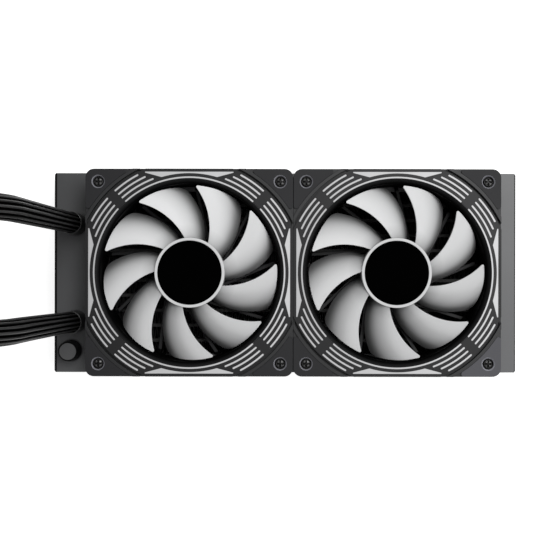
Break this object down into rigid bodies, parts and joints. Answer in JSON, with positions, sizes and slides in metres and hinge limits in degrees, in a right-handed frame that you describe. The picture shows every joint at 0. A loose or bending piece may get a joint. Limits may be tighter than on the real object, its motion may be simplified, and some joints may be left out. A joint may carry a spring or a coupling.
{
  "type": "all in one cpu liquid cooler",
  "caption": "Closed loop liquid cooler for a processor: black radiator with lit white-bladed fans side by side, ribbed hoses and a pump head with a cold plate.",
  "frame": {"origin": "centre of the radiator's back screw-hole pattern, midway between the two fans, on the back face", "axes": "+X along the radiator away from the hoses, +Y across it, +Z from the radiator's back to the fans' front faces"},
  "size_m": [0.4174, 0.12, 0.2299],
  "materials": {
    "radiator_paint": "satin black powder coat",
    "core_paint": "thin matte black coat",
    "cap_paint": "satin black",
    "seal_rubber": "matte",
    "hose_rubber": "ribbed, satin",
    "collar_metal": "black, satin",
    "frame_plastic": "fine moulded texture",
    "cover_plastic": "satin",
    "pad_rubber": "pebbled",
    "guide_plastic": "frosted white",
    "rotor_plastic": "frosted white",
    "disc_plastic": "matte black film",
    "shaft_steel": "ground",
    "bearing_brass": "turned",
    "magnet_ferrite": "matte",
    "core_steel": "stacked sheets",
    "coil_copper": "enamelled wire",
    "board_green": "solder mask",
    "board_white": "white solder mask",
    "screw_black": "black oxide",
    "plate_copper": "machined copper",
    "pump_plastic": "satin moulded",
    "elbow_metal": "black nickel, satin"
  },
  "bodies": {
    "root": {"cold_plate": "plate_copper", "cold_plate_seal": "seal_rubber", "core_fins": "core_paint", "core_tubes": "core_paint", "fan_screws": "screw_black", "fill_cap": "cap_paint", "fill_cap_seal": "seal_rubber", "left_fan_bearing": "bearing_brass", "left_fan_coils": "coil_copper", "left_fan_corner_pads": "pad_rubber", "left_fan_frame": "frame_plastic", "left_fan_light_board": "board_white", "left_fan_light_cover": "cover_plastic", "left_fan_light_guide": "guide_plastic", "left_fan_motor_board": "board_green", "left_fan_stator": "core_steel", "left_tank": "radiator_paint", "lower_hose": "hose_rubber", "lower_pump_elbow": "elbow_metal", "lower_side_plate": "radiator_paint", "lower_tank_collar": "collar_metal", "pump_base": "pump_plastic", "pump_board": "board_green", "pump_bracket": "elbow_metal", "pump_cover": "pump_plastic", "pump_housing": "pump_plastic", "pump_shaft": "shaft_steel", "pump_stator": "core_steel", "right_fan_bearing": "bearing_brass", "right_fan_coils": "coil_copper", "right_fan_corner_pads": "pad_rubber", "right_fan_frame": "frame_plastic", "right_fan_light_board": "board_white", "right_fan_light_cover": "cover_plastic", "right_fan_light_guide": "guide_plastic", "right_fan_motor_board": "board_green", "right_fan_stator": "core_steel", "right_tank": "radiator_paint", "upper_hose": "hose_rubber", "upper_pump_elbow": "elbow_metal", "upper_side_plate": "radiator_paint", "upper_tank_collar": "collar_metal"},
    "left_rotor": {"left_fan_rotor": "rotor_plastic", "left_fan_hub_disc": "disc_plastic", "left_fan_shaft": "shaft_steel", "left_fan_magnet": "magnet_ferrite"},
    "right_rotor": {"right_fan_rotor": "rotor_plastic", "right_fan_hub_disc": "disc_plastic", "right_fan_shaft": "shaft_steel", "right_fan_magnet": "magnet_ferrite"},
    "impeller": {"pump_impeller": "rotor_plastic"}
  },
  "joints": [
    {"name": "left_fan_spin", "type": "hinge", "parent": "root", "child": "left_rotor", "pos_m": [-0.06, 0, 0.042], "axis": [0, 0, 1], "continuous": true},
    {"name": "right_fan_spin", "type": "hinge", "parent": "root", "child": "right_rotor", "pos_m": [0.06, 0, 0.042], "axis": [0, 0, 1], "continuous": true},
    {"name": "pump_spin", "type": "hinge", "parent": "root", "child": "impeller", "pos_m": [-0.232, 0, 0.012], "axis": [0, 0, 1], "continuous": true}
  ]
}
